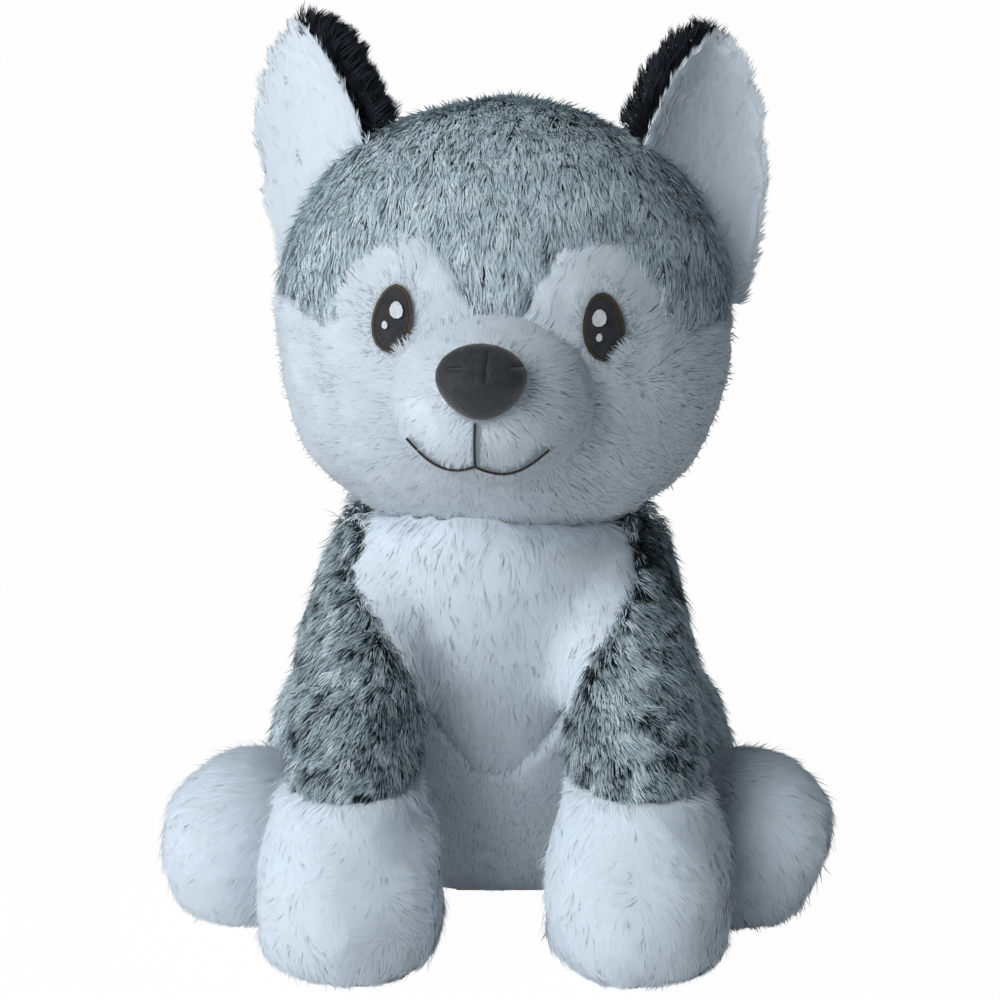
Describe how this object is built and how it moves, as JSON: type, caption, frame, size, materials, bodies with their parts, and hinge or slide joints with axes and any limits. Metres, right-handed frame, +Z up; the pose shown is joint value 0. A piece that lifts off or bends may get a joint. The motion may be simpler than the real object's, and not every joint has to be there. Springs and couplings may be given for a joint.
{
  "type": "plush husky",
  "caption": "Seated stuffed husky with pricked ears, a padded nose, a grey pile back and crown, and a white face, chest and paws.",
  "frame": {"origin": "middle of the flat seat under the torso, on the surface the toy sits on", "axes": "+Z up, the toy faces -Y, +X is the toy's own left"},
  "size_m": [0.3891, 0.456, 0.5057],
  "materials": {
    "grey_pile": "long heather pile, dark at the roots",
    "white_pile": "long white pile",
    "short_white_pile": "short white pile",
    "black_pile": "long black pile",
    "nose_fabric": "fine brushed fabric with a soft sheen",
    "eye_felt": "dark felt",
    "rim_thread": "satin stitched thread",
    "mouth_thread": "twisted thread",
    "white_felt": "white felt"
  },
  "bodies": {
    "root": {"head_crown": "grey_pile", "face": "white_pile", "muzzle": "short_white_pile", "nose": "nose_fabric", "mouth_line": "mouth_thread", "mouth_arc_left": "mouth_thread", "mouth_arc_right": "mouth_thread", "eye_left": "eye_felt", "eye_right": "eye_felt", "eye_rim_left": "rim_thread", "eye_rim_right": "rim_thread", "glint_left": "white_felt", "glint_right": "white_felt", "small_glint_left": "white_felt", "small_glint_right": "white_felt", "ear_back_left": "black_pile", "ear_back_right": "black_pile", "ear_lining_left": "short_white_pile", "ear_lining_right": "short_white_pile", "torso": "grey_pile", "chest_bib": "white_pile", "belly": "short_white_pile", "front_leg_left": "grey_pile", "front_leg_right": "grey_pile", "front_paw_left": "white_pile", "front_paw_right": "white_pile", "thigh_left": "grey_pile", "thigh_right": "grey_pile", "hind_foot_left": "white_pile", "hind_foot_right": "white_pile", "tail": "grey_pile", "tail_tip": "white_pile"}
  },
  "joints": []
}
